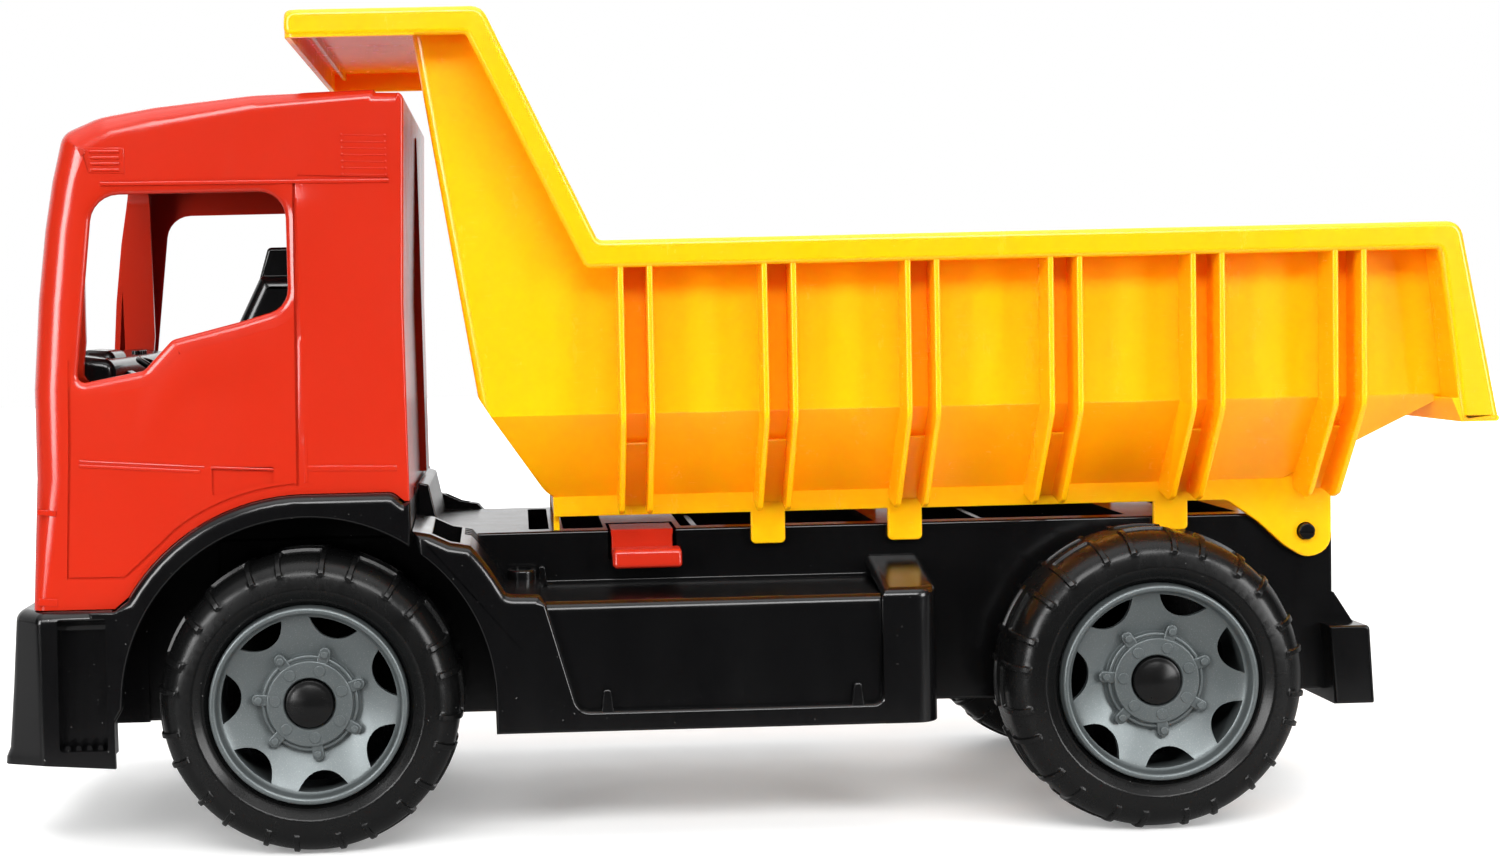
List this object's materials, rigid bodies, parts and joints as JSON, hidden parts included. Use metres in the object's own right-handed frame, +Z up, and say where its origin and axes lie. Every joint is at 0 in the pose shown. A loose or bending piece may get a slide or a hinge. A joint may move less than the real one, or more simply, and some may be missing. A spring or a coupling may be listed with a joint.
{
  "type": "push-along tipper truck toy",
  "caption": "Large push-along toy tipper truck with an open-windowed cab, a hinged tipping tub, a slide latch and free-spinning wheels.",
  "frame": {"origin": "on the ground plane, at the middle of the truck's length and width", "axes": "+X towards the rear of the truck, -X is the way it drives, -Y is its left side, +Z up"},
  "size_m": [0.6262, 0.237, 0.35],
  "materials": {
    "black": "gloss",
    "red": "gloss",
    "yellow": "gloss",
    "tyre": "semi-gloss",
    "silver": "satin",
    "steel": "brushed"
  },
  "bodies": {
    "truck": {"chassis_frame": "black", "cab_base": "black", "cab_shell": "red", "seat_bench": "black", "dashboard": "black", "left_side_skirt": "black", "right_side_skirt": "black", "left_hinge_pin": "black", "right_hinge_pin": "black", "left_skirt_screw_1": "steel", "left_skirt_screw_2": "steel", "right_skirt_screw_1": "steel", "right_skirt_screw_2": "steel", "base_screw_1": "steel", "base_screw_2": "steel", "base_screw_3": "steel", "base_screw_4": "steel", "front_axle": "steel", "rear_axle": "steel", "front_left_axle_clip": "steel", "front_right_axle_clip": "steel", "rear_left_axle_clip": "steel", "rear_right_axle_clip": "steel"},
    "tipper": {"tipper_tub": "yellow"},
    "latch": {"tipper_latch": "red"},
    "steering": {"steering_wheel": "black"},
    "front_left_wheel": {"front_left_tyre": "tyre", "front_left_wheel_disc": "silver", "front_left_hub_cap": "black"},
    "front_right_wheel": {"front_right_tyre": "tyre", "front_right_wheel_disc": "silver", "front_right_hub_cap": "black"},
    "rear_left_wheel": {"rear_left_tyre": "tyre", "rear_left_wheel_disc": "silver", "rear_left_hub_cap": "black"},
    "rear_right_wheel": {"rear_right_tyre": "tyre", "rear_right_wheel_disc": "silver", "rear_right_hub_cap": "black"}
  },
  "joints": [
    {"name": "front_left_wheel_spin", "type": "hinge", "parent": "truck", "child": "front_left_wheel", "pos_m": [-0.1829, -0.093, 0.06395], "axis": [0, 1, 0], "continuous": true},
    {"name": "front_right_wheel_spin", "type": "hinge", "parent": "truck", "child": "front_right_wheel", "pos_m": [-0.1829, 0.093, 0.06395], "axis": [0, 1, 0], "continuous": true},
    {"name": "rear_left_wheel_spin", "type": "hinge", "parent": "truck", "child": "rear_left_wheel", "pos_m": [0.1721, -0.093, 0.06395], "axis": [0, 1, 0], "continuous": true},
    {"name": "rear_right_wheel_spin", "type": "hinge", "parent": "truck", "child": "rear_right_wheel", "pos_m": [0.1721, 0.093, 0.06395], "axis": [0, 1, 0], "continuous": true},
    {"name": "tipper_tilt", "type": "hinge", "parent": "truck", "child": "tipper", "pos_m": [0.2511, 0, 0.1207], "axis": [0, 1, 0], "range_deg": [0, 55]},
    {"name": "latch_slide", "type": "slide", "parent": "truck", "child": "latch", "axis": [0, -1, 0], "range_m": [0, 0.008]},
    {"name": "steering_turn", "type": "hinge", "parent": "truck", "child": "steering", "pos_m": [-0.2489, -0.05, 0.203], "axis": [0.454, 0, 0.891], "continuous": true}
  ]
}
